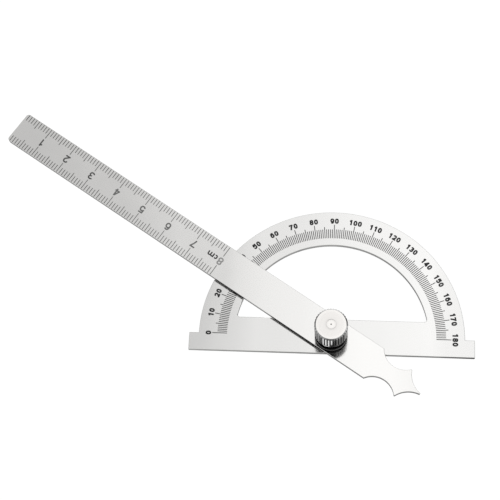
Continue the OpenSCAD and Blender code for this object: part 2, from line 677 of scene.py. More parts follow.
@dataclass(frozen=True)
class Finishes:
    """Every finish of the tool, made once."""

    plate_face: bpy.types.Material
    arm_face: bpy.types.Material
    sheared_edge: bpy.types.Material
    stud: bpy.types.Material
    washer: bpy.types.Material
    washer_edge: bpy.types.Material
    nut: bpy.types.Material
    knurl: bpy.types.Material
    flank: bpy.types.Material
    rim: bpy.types.Material
    neck: bpy.types.Material
    plate_ink: bpy.types.Material
    arm_ink: bpy.types.Material
    faded_ink: bpy.types.Material
    fresh_ink: bpy.types.Material
    unit_ink: bpy.types.Material
    worn_ink: bpy.types.Material

    @classmethod
    def make(cls, arm_angle: float) -> "Finishes":
        """Makes every finish.

        Args:
            arm_angle: the arm's angle from +X in degrees, which its brushed lines follow.

        Returns:
            The finishes.
        """
        effects = SurfaceEffects()
        return cls(
            plate_face=SteelFinish(
                "satin_plate_steel",
                (0.874, 0.869, 0.857),
                (0.834, 0.83, 0.82),
                0.13,
                shades=(
                    (-43.0, 0.95),
                    (-39.0, 0.95),
                    (-35.0, 0.99),
                    (-29.0, 0.99),
                    (-22.5, 1.03),
                    (-16.0, 0.98),
                    (-9.0, 0.965),
                    (5.0, 0.985),
                    (22.0, 0.98),
                    (29.5, 1.0),
                    (34.0, 0.945),
                    (43.0, 0.935),
                ),
            ).material(effects),
            arm_face=SteelFinish(
                "satin_arm_steel",
                (0.94, 0.933, 0.917),
                (0.9, 0.893, 0.88),
                0.1,
                grain_turn=arm_angle,
                shades=(
                    (-66.0, 1.0),
                    (-56.0, 1.01),
                    (-47.5, 1.035),
                    (-40.0, 0.98),
                    (-33.0, 0.94),
                    (-29.0, 0.985),
                    (-20.0, 0.99),
                    (-10.0, 0.967),
                    (10.0, 0.98),
                    (18.0, 0.955),
                    (25.0, 0.905),
                ),
            ).material(effects),
            # The cut walls are darker steel and partly painted shade: they are darkened to stand in for the
            # shade along the edges, and their tone falls steeply towards the right end as a painted dark
            # reflection.
            sheared_edge=SteelFinish(
                "sheared_edge_steel_and_painted_shade",
                (0.72, 0.72, 0.71),
                (0.47, 0.47, 0.465),
                0.15,
                grain=Grain.SHEARED,
                grain_width=0.06 * MM,
                grain_length=1.2 * MM,
                patch_size=3.0 * MM,
                shades=(
                    (-45.0, 1.0),
                    (-30.0, 0.9),
                    (-10.0, 0.75),
                    (10.0, 0.73),
                    (32.0, 0.62),
                    (37.0, 0.26),
                    (43.0, 0.17),
                ),
                rim_tone=0.35,
            ).material(effects),
            stud=SteelFinish(
                "turned_stud_steel", (0.74, 0.74, 0.75), (0.6, 0.6, 0.61), 0.28, grain=Grain.TURNED
            ).material(effects),
            # The washers are painted dark for the shade under the arm and the nut. Their edge finish is a
            # touch lighter and rougher, a faint painted highlight.
            washer=SteelFinish(
                "washer_steel_painted_shade",
                (0.16, 0.16, 0.16),
                (0.1, 0.1, 0.1),
                0.22,
                grain=Grain.TURNED,
                rim_tone=0.4,
            ).material(effects),
            washer_edge=SteelFinish(
                "washer_edge_steel_painted_shade_and_highlight", (0.17, 0.17, 0.17), (0.12, 0.12, 0.12), 0.3, grain=Grain.TURNED
            ).material(effects),
            nut=SteelFinish(
                "turned_nut_plating",
                (0.97, 0.955, 0.93),
                (0.9, 0.875, 0.85),
                0.14,
                grain=Grain.TURNED,
                grain_width=0.25 * MM,
                grain_depth=0.0012 * MM,
                shades=(
                    (0.0, 1.0),
                    (0.9, 1.0),
                    (1.15, 0.93),
                    (1.48, 0.86),
                    (1.8, 0.88),
                    (2.3, 0.92),
                    (3.4, 0.925),
                    (3.9, 0.965),
                    (4.4, 1.0),
                    (5.0, 1.0),
                ),
            ).material(effects),
            # The knurl's flanks and the wall between its ribs are painted dark for the shade in the flutes.
            flank=SteelFinish(
                "flute_plating_painted_shade",
                (0.25, 0.25, 0.25),
                (0.15, 0.15, 0.15),
                0.22,
                grain=Grain.SHEARED,
                rim_tone=0.5,
            ).material(effects),
            rim=SteelFinish(
                "dulled_rim_plating", (0.8, 0.8, 0.8), (0.65, 0.65, 0.65), 0.14
            ).material(effects),
            # The neck, the groove over the rim and the centre mark are painted near black for the shade
            # under the knurl and in the recesses.
            neck=SteelFinish(
                "neck_steel_painted_shade",
                (0.07, 0.07, 0.07),
                (0.03, 0.03, 0.03),
                0.3,
                grain=Grain.TURNED,
                rim_tone=0.3,
            ).material(effects),
            knurl=SteelFinish(
                "rolled_knurl_plating",
                (0.75, 0.75, 0.74),
                (0.52, 0.52, 0.52),
                0.12,
                grain=Grain.SHEARED,
                grain_width=0.08 * MM,
                grain_length=2.0 * MM,
                patch_size=1.5 * MM,
            ).material(effects),
            plate_ink=InkFinish(
                "black_etch_filling", (0.02, 0.02, 0.021), (0.008, 0.008, 0.009)
            ).material(effects),
            arm_ink=InkFinish(
                "grey_etch_filling",
                (0.19, 0.19, 0.187),
                (0.13, 0.13, 0.128),
                shades=(
                    (-101.0, 0.2),
                    (-85.0, 0.25),
                    (-72.0, 0.5),
                    (-60.0, 0.9),
                    (-45.0, 1.0),
                    (-38.0, 0.7),
                ),
            ).material(effects),
            faded_ink=InkFinish(
                "faded_etch_filling", (0.25, 0.25, 0.245), (0.17, 0.17, 0.167)
            ).material(effects),
            fresh_ink=InkFinish(
                "dark_etch_filling", (0.12, 0.12, 0.118), (0.08, 0.08, 0.078)
            ).material(effects),
            unit_ink=InkFinish(
                "black_unit_filling", (0.06, 0.06, 0.06), (0.03, 0.03, 0.03)
            ).material(effects),
            worn_ink=InkFinish(
                "worn_etch_filling", (0.5, 0.5, 0.49), (0.34, 0.34, 0.335)
            ).material(effects),
        )


def place_piece(
    name: str,
    mesh: bpy.types.Mesh,
    finishes: Iterable[bpy.types.Material],
    body: str,
    stands_for: str | None = None,
) -> bpy.types.Object:
    """Scales a mesh drawn in millimetres to metres and makes it a piece of the tool.

    Args:
        name: the piece's name.
        mesh: its mesh, in place.
        finishes: its materials in the order of its slots, unless the mesh has them already.
        body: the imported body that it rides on.
        stands_for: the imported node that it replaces, if there is one.

    Returns:
        The piece.
    """
    mesh.transform(Matrix.Scale(MM, 4))
    mesh.update()
    if not mesh.materials:
        for finish in finishes:
            mesh.materials.append(finish)
    piece = bpy.data.objects.new(name, mesh)
    bpy.context.scene.collection.objects.link(piece)
    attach(piece, body)
    if stands_for:
        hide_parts(stands_for)
    LOG.info("%s: %d faces on body %s", name, len(mesh.polygons), body)
    return piece


@dataclass(frozen=True)
class Lettering:
    """A plain alphabet drawn by a pen of one width.

    A sign is one unit high, and every place in it is a share of its height or of its width.
    """

    pen: float
    width: float
    waist: float = 0.52
    x_height: float = 0.72
    stem_gap_share: float = 0.72
    squareness: float = 2.35
    bow_steps: int = 20
    fewest_steps: int = 4

    @property
    def half_pen(self) -> float:
        """Half the pen's width."""
        return self.pen / 2.0

    def bow(self, middle: Point, reach: Point, start: float, end: float) -> Loop:
        """Part of a squarish oval.

        Args:
            middle: its centre.
            reach: half its width and half its height.
            start: the angle of its first point, in degrees.
            end: the angle of its last point, in degrees.

        Returns:
            The points in order.
        """
        power = 2.0 / self.squareness
        steps = max(self.fewest_steps, round(self.bow_steps * abs(end - start) / 180.0))
        points = []
        for i in range(steps + 1):
            turn = math.radians(start + (end - start) * i / steps)
            x, y = math.cos(turn), math.sin(turn)
            points.append((
                middle[0] + reach[0] * math.copysign(abs(x) ** power, x),
                middle[1] + reach[1] * math.copysign(abs(y) ** power, y),
            ))
        return points

    def oval(self, middle: Point, reach: Point) -> list[Loop]:
        """A closed oval as two strokes, a left one and a right one."""
        return [self.bow(middle, reach, 90.0, 270.0), self.bow(middle, reach, 270.0, 450.0)]

    def strokes(self, sign: str) -> list[Loop]:
        """The middle lines of a sign's strokes.

        Args:
            sign: a digit, or the letter c or m.

        Returns:
            One line of points for each stroke.
        """
        pen, wide = self.half_pen, self.width
        low, high, left, right = pen, 1.0 - pen, pen, wide - pen
        mid, middle = wide / 2.0, 0.5
        reach = (right - left) / 2.0
        bowl = (high - low) * 0.31
        small, large = (high - self.waist) / 2.0, (self.waist - low) / 2.0
        if sign == "0":
            return self.oval((mid, middle), (reach, middle - pen))
        if sign == "1":
            stem = wide * 0.6
            flag = [(stem - wide * 0.42, 0.70), (stem - wide * 0.2, 0.765), (stem + pen * 0.2, 0.93)]
            return [[(stem, 0.0), (stem, 1.0)], flag]
        if sign == "2":
            top = self.bow((mid, high - bowl), (reach, bowl), 172.0, -32.0)
            return [top + [(left + pen * 0.75, low + pen * 0.7)], [(0.0, low), (wide, low)]]
        if sign == "3":
            top = self.bow((mid, high - small), (reach * 0.95, small), 165.0, -90.0)
            foot = self.bow((mid, low + large), (reach, large), 90.0, -168.0)
            return [top, foot, [(mid - wide * 0.12, self.waist), (mid + pen, self.waist)]]
        if sign == "4":
            bar, stem = 0.27, wide * 0.68
            slope = [(stem - pen * 0.35, high + pen * 0.2), (left + pen * 0.1, bar + pen * 0.3)]
            return [slope, [(0.0, bar), (wide, bar)], [(stem, 0.0), (stem, 1.0)]]
        if sign == "5":
            back = [(left + wide * 0.07, high + pen * 0.6), (left, middle - pen * 0.4)]
            belly = (0.66 - low) / 2.0
            foot = self.bow((mid, low + belly), (reach, belly), 150.0, -165.0)
            return [[(left, high), (wide * 0.93, high)], back, foot]
        if sign in "69":
            loop = (0.64 - low) / 2.0
            back = self.bow((mid, middle), (reach, middle - pen), 42.0, 180.0)
            lines = self.oval((mid, low + loop), (reach, loop))
            lines.append(back + [(left, low + loop)])
            if sign == "6":
                return lines
            return [[(wide - x, 1.0 - y) for x, y in line] for line in lines]
        if sign == "7":
            return [[(0.0, high), (wide, high)], [(right, high), (mid, 0.45), (wide * 0.3, 0.0)]]
        if sign == "8":
            return [
                *self.oval((mid, high - small), (reach * 0.9, small)),
                *self.oval((mid, low + large), (reach, large)),
            ]
        x_height = self.x_height
        if sign == "c":
            return [self.bow((mid, x_height / 2.0), (reach, x_height / 2.0 - pen), 48.0, 312.0)]
        gap = wide * self.stem_gap_share
        arch = gap / 2.0
        stems = [[(pen + gap * i, 0.0), (pen + gap * i, x_height - arch * i * 0.5)] for i in range(3)]
        stems[0][1] = (pen, x_height)
        for i in range(2):
            centre = (pen + gap * (i + 0.5), x_height - pen - arch)
            stems.append(self.bow(centre, (arch, arch), 178.0, 2.0))
        return stems

    def advance(self, sign: str) -> float:
        """The width of a sign."""
        return self.width * self.stem_gap_share * 2.0 + self.pen if sign == "m" else self.width

    def sign(self, sign: str) -> tuple[list[Point], list]:
        """Fills a sign's strokes.

        Args:
            sign: the sign.

        Returns:
            Its points and its triangles.
        """
        outlines = []
        for line in self.strokes(sign):
            right = offset(line, self.half_pen, closed=False)
            left = offset(line, -self.half_pen, closed=False)
            outlines.append(right + left[::-1])
        points, triangles, _ = fill(outlines, lambda owners: bool(owners))
        return [tuple(p) for p in points], triangles

    def write(self, work: bmesh.types.BMesh, text: str, place: Matrix, gap: float, depth: float) -> None:
        """Adds a word as thin solids.

        Args:
            work: the edit data that the word is added to.
            text: the word.
            place: turns the word's own frame, whose origin is at its middle, into the tool's.
            gap: the space between two signs, as a share of their height.
            depth: the thickness, in the word's own frame.
        """
        length = sum(self.advance(s) for s in text) + gap * (len(text) - 1)
        start = -length / 2.0
        for sign in text:
            points, triangles = self.sign(sign)
            lower = [work.verts.new(place @ Vector((start + x, y - 0.5, 0.0))) for x, y in points]
            upper = [work.verts.new(place @ Vector((start + x, y - 0.5, depth))) for x, y in points]
            sides: dict[tuple[int, int], int] = {}
            for triangle in triangles:
                work.faces.new([upper[i] for i in triangle])
                work.faces.new([lower[i] for i in reversed(triangle)])
                for a, b in zip(triangle, triangle[1:] + triangle[:1]):
                    sides[(a, b)] = 1
            for a, b in sides:
                if (b, a) not in sides:
                    work.faces.new((lower[a], lower[b], upper[b], upper[a]))
            start += self.advance(sign) + gap


def mark_length_group() -> bpy.types.NodeTree:
    """A group that gives each graduation mark the reach that its number asks for.

    Returns:
        The group, which puts out the long reach at tens, the middle one at fives, or the short one.
    """
    number = ("NodeSocketFloat", 0.0)
    inputs = {"Number": number, "Short": number, "Middle": number, "Long": number}
    writer, given, result = new_tree("mark_reach", "GeometryNodeTree", inputs, {"Reach": "NodeSocketFloat"})
    reach = given.outputs["Short"]
    before = reach
    # The number is nudged up, so that rounding can't take a multiple for the number under it.
    nudge, whole_step = 0.25, 0.5
    for every, name in ((5.0, "Middle"), (10.0, "Long")):
        rest = writer.math("MODULO", writer.math("ADD", given.outputs["Number"], nudge), every)
        is_multiple = writer.math("LESS_THAN", rest, whole_step)
        step = writer.math("SUBTRACT", given.outputs[name], before)
        reach = writer.math("MULTIPLY_ADD", is_multiple, step, reach)
        before = given.outputs[name]
    writer.tree.links.new(reach, result.inputs["Reach"])
    return writer.tree


class GraduationTrees:
    """Geometry trees for the marks round the ring and for those along the arm's two edges."""

    SHARED = {
        "Count": ("NodeSocketInt", 1),
        "Step": ("NodeSocketFloat", 1.0),
        "Start": ("NodeSocketFloat", 0.0),
        "Foot": ("NodeSocketFloat", 1.0),
        "Short": ("NodeSocketFloat", 1.0),
        "Middle": ("NodeSocketFloat", 1.0),
        "Long": ("NodeSocketFloat", 1.0),
        "Line Width": ("NodeSocketFloat", 0.1),
        "Line Depth": ("NodeSocketFloat", 0.01),
        "Surface": ("NodeSocketFloat", 0.0),
        "Filling": ("NodeSocketMaterial", None),
    }

    def __init__(self) -> None:
        """Builds both trees."""
        self.reach = mark_length_group()
        self.ring = self._ring()
        self.edges = self._edges()

    def _reach(self, writer: TreeWriter, given: bpy.types.Node, number: Any) -> bpy.types.NodeSocket:
        """The reach of the mark with a number.

        Args:
            writer: the tree's writer.
            given: its group input.
            number: the number.

        Returns:
            The reach.
        """
        node = writer.add("GeometryNodeGroup", node_tree=self.reach)
        writer.tree.links.new(number, node.inputs["Number"])
        for name in ("Short", "Middle", "Long"):
            writer.tree.links.new(given.outputs[name], node.inputs[name])
        return node.outputs[0]

    @staticmethod
    def _lay(
        writer: TreeWriter,
        given: bpy.types.Node,
        result: bpy.types.Node,
        count: Any,
        position: tuple,
        size: tuple,
        turn: Any,
    ) -> bpy.types.NodeTree:
        """Lays one thin box at each point and finishes the tree.

        Args:
            writer: the tree's writer.
            given: its group input.
            result: its group output.
            count: the number of marks.
            position: X and Y of each mark's middle.
            size: X and Y size of each mark before it is turned.
            turn: the angle of each mark round Z.

        Returns:
            The finished tree.
        """
        height = writer.math("MULTIPLY_ADD", given.outputs["Line Depth"], 0.5, given.outputs["Surface"])
        place = writer.add("ShaderNodeCombineXYZ", {0: position[0], 1: position[1], 2: height})
        points = writer.add("GeometryNodePoints", {"Count": count, "Position": place.outputs[0]})
        box_size = writer.add("ShaderNodeCombineXYZ", {0: 1.0, 1: 1.0, 2: given.outputs["Line Depth"]})
        box = writer.add("GeometryNodeMeshCube", {"Size": box_size.outputs[0]})
        scale = writer.add("ShaderNodeCombineXYZ", {0: size[0], 1: size[1], 2: 1.0})
        rotation = writer.add("ShaderNodeCombineXYZ", {2: turn})
        copies = writer.add(
            "GeometryNodeInstanceOnPoints",
            {
                "Points": points.outputs[0],
                "Instance": box.outputs["Mesh"],
                "Rotation": rotation.outputs[0],
                "Scale": scale.outputs[0],
            },
        )
        real = writer.add("GeometryNodeRealizeInstances", {"Geometry": copies.outputs[0]})
        filled = writer.add(
            "GeometryNodeSetMaterial",
            {"Geometry": real.outputs[0], "Material": given.outputs["Filling"]},
        )
        writer.tree.links.new(filled.outputs[0], result.inputs["Geometry"])
        return writer.tree

    def _ring(self) -> bpy.types.NodeTree:
        """Marks that point to the pivot.

        Returns:
            The tree, for which Start and Step are angles, and Foot and the reaches are radii.
        """
        writer, given, result = new_tree(
            "ring_graduation", "GeometryNodeTree", self.SHARED, {"Geometry": "NodeSocketGeometry"}
        )
        number = writer.add("GeometryNodeInputIndex").outputs[0]
        turn = writer.math("MULTIPLY_ADD", number, given.outputs["Step"], given.outputs["Start"])
        foot, top = given.outputs["Foot"], self._reach(writer, given, number)
        radius = writer.math("MULTIPLY", writer.math("ADD", foot, top), 0.5)
        x = writer.math("MULTIPLY", radius, writer.math("COSINE", turn))
        y = writer.math("MULTIPLY", radius, writer.math("SINE", turn))
        size = (writer.math("SUBTRACT", top, foot), given.outputs["Line Width"])
        return self._lay(writer, given, result, given.outputs["Count"], (x, y), size, turn)

    def _edges(self) -> bpy.types.NodeTree:
        """Marks square to X, from both edges towards the middle line.

        Returns:
            The tree, for which Start and Step are places on X, and Foot and the reaches are
            distances from the middle line. The first mark has number 1.
        """
        writer, given, result = new_tree(
            "edge_graduation", "GeometryNodeTree", self.SHARED, {"Geometry": "NodeSocketGeometry"}
        )
        index, count = writer.add("GeometryNodeInputIndex").outputs[0], given.outputs["Count"]
        number = writer.math("ADD", writer.math("MODULO", index, count), 1.0)
        past_first_edge = writer.math("GREATER_THAN", writer.math("ADD", index, 0.5), count)
        side = writer.math("MULTIPLY_ADD", past_first_edge, -2.0, 1.0)
        foot, top = given.outputs["Foot"], self._reach(writer, given, number)
        x = writer.math("MULTIPLY_ADD", number, given.outputs["Step"], given.outputs["Start"])
        y = writer.math("MULTIPLY", writer.math("MULTIPLY", writer.math("ADD", foot, top), 0.5), side)
        size = (given.outputs["Line Width"], writer.math("SUBTRACT", foot, top))
        both = writer.math("MULTIPLY", count, 2.0)
        return self._lay(writer, given, result, both, (x, y), size, 0.0)


@dataclass(frozen=True)
class Graduation:
    """A row of etched marks, of which those at fives and tens are longer.

    Its ends are the reaches of the short, the middle and the long marks.
    """

    count: int
    step: float
    start: float
    foot: float
    ends: tuple[float, float, float]
    width: float
    depth: float
    surface: float
    filling: bpy.types.Material

    def grow(self, tree: bpy.types.NodeTree, name: str) -> bpy.types.Mesh:
        """Runs a graduation tree with these sizes.

        Args:
            tree: the tree.
            name: the mesh's name.

        Returns:
            The marks as one mesh.
        """
        short, middle, long = self.ends
        values = {
            "Count": self.count,
            "Step": self.step,
            "Start": self.start,
            "Foot": self.foot,
            "Short": short,
            "Middle": middle,
            "Long": long,
            "Line Width": self.width,
            "Line Depth": self.depth,
            "Surface": self.surface,
            "Filling": self.filling,
        }
        return grow(tree, values, name)


@dataclass
class ProtractorPlate:
    """The half ring with its base bar, tabs, window, degree marks and numbers."""

    finishes: Finishes
    trees: GraduationTrees
    body: str = "plate"
    slot: str = "plate_steel"
    ring_width: float = 10.65
    window_corner_r: float = 0.8
    roll_width: float = 0.09
    roll_drop: float = 0.055
    stud_r: float = 2.0
    sink_r: float = 3.02
    sink_depth: float = 0.9
    ring_steps: int = 220
    window_steps: int = 180
    corner_steps: int = 16
    hole_steps: int = 96
    degrees: int = 180
    number_every: int = 10
    mark_foot_r: float = 31.25
    mark_tops: tuple[float, float, float] = (34.15, 34.92, 35.67)
    mark_width: float = 0.23
    etch_depth: float = 0.012
    number_r: float = 36.85
    number_height: float = 1.72
    number_gap_share: float = 0.1
    number_drift: tuple[Point, ...] = ((40.0, 0.32), (50.0, 0.12), (60.0, 0.07))
    lettering: Lettering = field(default_factory=lambda: Lettering(pen=0.28, width=0.71))

    def outline(self) -> Loop:
        """The plate's outer edge.

        Returns:
            Its points, counter-clockwise from the right end of the base bar.
        """
        bar_end = node_size("protractor_plate", X, End.HIGH)
        radius = node_size("protractor_plate", Y, End.HIGH)
        bar_half = -node_size("protractor_plate", Y, End.LOW)
        ring = arc((0.0, 0.0), radius, 0.0, 180.0, self.ring_steps)
        return [(bar_end, -bar_half), (bar_end, 0.0), *ring, (-bar_end, 0.0), (-bar_end, -bar_half)]

    def window(self) -> Loop:
        """The edge of the D-shaped window, with its two corners rounded.

        Returns:
            Its points, counter-clockwise.
        """
        radius = node_size("protractor_plate", Y, End.HIGH) - self.ring_width
        bar_half = -node_size("protractor_plate", Y, End.LOW)
        corner_r, steps = self.window_corner_r, self.corner_steps
        corner_y = bar_half + corner_r
        corner_x = math.sqrt((radius - corner_r) ** 2 - corner_y**2)
        lean = math.degrees(math.atan2(corner_y, corner_x))
        bow = arc((0.0, 0.0), radius, lean, 180.0 - lean, self.window_steps)
        left = arc((-corner_x, corner_y), corner_r, 180.0 - lean, 270.0, steps)
        right = arc((corner_x, corner_y), corner_r, -90.0, lean, steps)
        return [*bow, *left[1:], *right[:-1]]

    def plate(self) -> None:
        """Stamps the plate, with a countersunk hole for the stud."""
        back, face = levels("protractor_plate")
        sheet = StampedSheet(back, face, self.roll_width, self.roll_drop)
        bore = circle(self.stud_r, self.hole_steps)
        hole = [
            Ring(circle(self.sink_r, self.hole_steps), back),
            Ring(bore, back + self.sink_depth),
            Ring(bore, face),
        ]
        walls = [sheet.wall(self.outline()), sheet.wall(self.window(), side=-1.0), hole]
        mesh = sheet.build(walls, "protractor_plate_steel")
        smooth(mesh)
        finishes = (self.finishes.plate_face, self.finishes.sheared_edge)
        place_piece("protractor_plate_steel", mesh, finishes, self.body, "protractor_plate")

    def marks(self) -> None:
        """Etches one mark a degree, from 0 on the left to 180 on the right."""
        row = Graduation(
            count=self.degrees + 1,
            step=-math.radians(1.0),
            start=math.pi,
            foot=self.mark_foot_r,
            ends=self.mark_tops,
            width=self.mark_width,
            depth=self.etch_depth,
            surface=node_size("protractor_plate", Z, End.HIGH),
            filling=self.finishes.plate_ink,
        )
        mesh = row.grow(self.trees.ring, "degree_marks")
        place_piece("degree_marks", mesh, (), self.body)

    def numbers(self) -> None:
        """Etches a number every ten degrees, with its top away from the pivot.

        A few numbers sit a little clockwise of their marks, as on the real plate. The drift gives
        that distance for each of them.
        """
        work = bmesh.new()
        surface = node_size("protractor_plate", Z, End.HIGH)
        drift = dict(self.number_drift)
        for degrees in range(0, self.degrees + 1, self.number_every):
            ahead = math.degrees(drift.get(degrees, 0.0) / self.number_r)
            x, y = polar(self.number_r, 180.0 - degrees - ahead)
            place = (
                Matrix.Translation((x, y, surface))
                @ Matrix.Rotation(math.radians(90.0 - degrees), 4, "Z")
                @ Matrix.Scale(self.number_height, 4)
            )
            depth = self.etch_depth / self.number_height
            self.lettering.write(work, str(degrees), place, self.number_gap_share, depth)
        mesh = to_mesh(work, "degree_numbers")
        place_piece("degree_numbers", mesh, (self.finishes.plate_ink,), self.body)

    def build(self) -> None:
        """Makes every piece of the plate."""
        self.plate()
        self.marks()
        self.numbers()


@dataclass
class RulerArm:
    """The swinging arm with its centimetre scale and its scalloped tail, drawn along +X."""

    finishes: Finishes
    trees: GraduationTrees
    angle: float
    body: str = "arm"
    slot: str = "arm_steel"
    half_width: float = 5.4
    reach: float = 120.9
    tip_corner_r: float = 1.0
    bore_r: float = 2.05
    shoulder_at: float = 15.3
    side_point: Point = (25.6, 4.7)
    tail_reach: float = 31.5
    side_scoop: float = 2.6
    end_scoop: float = 0.95
    point_flat: float = 0.3
    side_point_turn: float = 27.0
    tip_corner_steps: int = 12
    side_scoop_steps: int = 40
    end_scoop_steps: int = 24
    bore_steps: int = 96
    scale_zero: float = 121.0
    scale_marks: int = 80
    number_every: int = 10
    mark_foot: float = 5.25
    mark_ends: tuple[float, float, float] = (3.15, 2.4, 1.75)
    mark_width: float = 0.2
    etch_depth: float = 0.012
    number_height: float = 2.52
    number_shift: Point = (-0.07, 0.12)
    scale_shift: float = 0.05
    unit_height: float = 1.95
    unit_at: float = 44.0
    unit_shift: float = 0.0
    lettering: Lettering = field(default_factory=lambda: Lettering(pen=0.185, width=0.68))
    unit_lettering: Lettering = field(default_factory=lambda: Lettering(pen=0.22, width=0.64))
    letter_gap: float = 0.03

    @staticmethod
    def scoop(start: Point, end: Point, depth: float, steps: int) -> Loop:
        """An arc from one point to another that bends to the left of the way between them.

        Args:
            start: its first point.
            end: its last point.
            depth: how far its middle lies from the straight line.
            steps: the number of straight pieces.

        Returns:
            The points in order.
        """
        first, last = Vector(start), Vector(end)
        chord = last - first
        radius = ((chord.length / 2.0) ** 2 + depth**2) / (2.0 * depth)
        across = Vector((chord.y, -chord.x)).normalized()
        centre = (first + last) / 2.0 + across * (radius - depth)
        from_centre = [math.degrees(math.atan2(*(p - centre).yx)) for p in (first, last)]
        sweep = (from_centre[0] - from_centre[1]) % 360.0
        return arc(tuple(centre), radius, from_centre[0], from_centre[0] - sweep, steps)

    def outline(self) -> Loop:
        """The arm's outer edge.

        Returns:
            Its points, counter-clockwise from the ruler end's upper corner.
        """
        corner = (self.reach - self.tip_corner_r, self.half_width - self.tip_corner_r)
        tip = arc(corner, self.tip_corner_r, 0.0, 90.0, self.tip_corner_steps)
        turn = math.radians(self.side_point_turn)
        half_flat = Vector((math.cos(turn), math.sin(turn))) * self.point_flat / 2.0
        side = Vector((-self.side_point[0], self.side_point[1]))
        near, far = tuple(side + half_flat), tuple(side - half_flat)
        end = (-self.tail_reach, self.point_flat / 2.0)
        shoulder = (-self.shoulder_at, self.half_width)
        upper = [
            *tip,
            *self.scoop(shoulder, near, self.side_scoop, self.side_scoop_steps),
            *self.scoop(far, end, self.end_scoop, self.end_scoop_steps),
        ]
        lower = [(x, -y) for x, y in reversed(upper)]
        return [*upper, *lower]

    def turn(self) -> Matrix:
        """Turns the arm from +X to where it is set."""
        return Matrix.Rotation(math.radians(self.angle), 4, "Z")

    def blade(self) -> None:
        """Stamps the arm."""
        back, face = levels("ruler_arm")
        sheet = StampedSheet(back, face)
        bore = circle(self.bore_r, self.bore_steps)
        walls = [sheet.wall(self.outline()), sheet.wall(bore, side=-1.0)]
        mesh = sheet.build(walls, "ruler_arm_steel")
        mesh.transform(self.turn())
        smooth(mesh)
        finishes = (self.finishes.arm_face, self.finishes.sheared_edge)
        place_piece("ruler_arm_steel", mesh, finishes, self.body, "ruler_arm")

    def marks(self) -> None:
        """Etches one mark a millimetre along both edges."""
        row = Graduation(
            count=self.scale_marks,
            step=-1.0,
            start=self.scale_zero,
            foot=self.mark_foot,
            ends=self.mark_ends,
            width=self.mark_width,
            depth=self.etch_depth,
            surface=node_size("ruler_arm", Z, End.HIGH),
            filling=self.finishes.arm_ink,
        )
        mesh = row.grow(self.trees.edges, "millimetre_marks")
        mesh.transform(self.turn() @ Matrix.Translation((0.0, self.scale_shift, 0.0)))
        place_piece("millimetre_marks", mesh, (), self.body)

    def numbers(self) -> None:
        """Etches the centimetre numbers and their unit, read towards the ruler end.

        The first numbers and the unit are filled dark, the middle ones have faded, and the last is worn.
        """
        surface = node_size("ruler_arm", Z, End.HIGH)
        on, across_by = self.number_shift
        words = []
        for number in range(1, self.scale_marks // self.number_every + 1):
            along = self.scale_zero - self.number_every * number + on
            words.append((str(number), along, across_by, self.number_height))
        unit = ("cm", self.unit_at, self.unit_shift, self.unit_height)
        groups = {
            "first_numbers": (words[:3], self.finishes.fresh_ink),
            "middle_numbers": (words[3:7], self.finishes.faded_ink),
            "last_number": (words[7:], self.finishes.worn_ink),
            "unit_sign": ([unit], self.finishes.unit_ink),
        }
        for name, (group, ink) in groups.items():
            work = bmesh.new()
            for text, along, across, height in group:
                place = self.turn() @ Matrix.Translation((along, across, surface)) @ Matrix.Scale(height, 4)
                lettering = self.unit_lettering if text == "cm" else self.lettering
                lettering.write(work, text, place, self.letter_gap, self.etch_depth / height)
            place_piece(name, to_mesh(work, name), (ink,), self.body)

    def build(self) -> None:
        """Makes every piece of the arm."""
        self.blade()
        self.marks()
        self.numbers()


@dataclass
class PivotStud:
    """The threaded stud that is pressed into the plate and carries the arm and the nut."""

    finishes: Finishes
    body: str = "plate"
    slot: str = "stud_steel"
    shank_r: float = 2.0
    head_depth: float = 0.9
    end_bevel: float = 0.4
    thread_pitch: float = 0.7
    thread_depth: float = 0.38
    crest_flat: float = 0.1
    flank_share: float = 0.75
    sharp_angle: float = 40.0
    run_out: float = 0.8
    columns: int = 48
    rows_a_pitch: int = 14

    def radius(self, height: float, turn: float, start: float, top: float) -> float:
        """The stud's radius at a height and an angle, with its thread.

        Args:
            height: the height of the point.
            turn: its angle round the axis, in radians.
            start: the height at which the thread starts.
            top: the height of the stud's end.

        Returns:
            The radius.
        """
        phase = (height / self.thread_pitch - turn / (2.0 * math.pi)) % 1.0
        slope = abs(2.0 * phase - 1.0)
        tooth = min(1.0, max(0.0, (slope - self.crest_flat) / self.flank_share))
        fade = min(1.0, max(0.0, (height - start) / self.run_out))
        envelope = self.shank_r - max(0.0, height - (top - self.end_bevel))
        return min(envelope, self.shank_r - self.thread_depth * tooth * fade)

    def build(self) -> None:
        """Makes the stud as one closed mesh."""
        low, top = levels("pivot_stud")
        head_r = node_size("pivot_stud", X, End.HIGH)
        start = node_size("ruler_arm", Z, End.HIGH)
        rows = round((top - start) / self.thread_pitch * self.rows_a_pitch)
        heights = [start + (top - start) * i / rows for i in range(rows + 1)]
        work = bmesh.new()
        rings = []
        for height, radius in ((low, head_r), (low + self.head_depth, self.shank_r)):
            rings.append([work.verts.new((*p, height)) for p in circle(radius, self.columns)])
        for height in heights:
            ring = []
            for i in range(self.columns):
                turn = 2.0 * math.pi * i / self.columns
                radius = self.radius(height, turn, start, top)
                ring.append(work.verts.new((radius * math.cos(turn), radius * math.sin(turn), height)))
            rings.append(ring)
        for lower, upper in zip(rings, rings[1:]):
            for i in range(self.columns):
                j = (i + 1) % self.columns
                work.faces.new((lower[i], lower[j], upper[j], upper[i]))
        work.faces.new(list(reversed(rings[0])))
        work.faces.new(rings[-1])
        mesh = to_mesh(work, "threaded_stud")
        smooth(mesh, self.sharp_angle)
        place_piece("threaded_stud", mesh, (self.finishes.stud,), self.body, "pivot_stud")


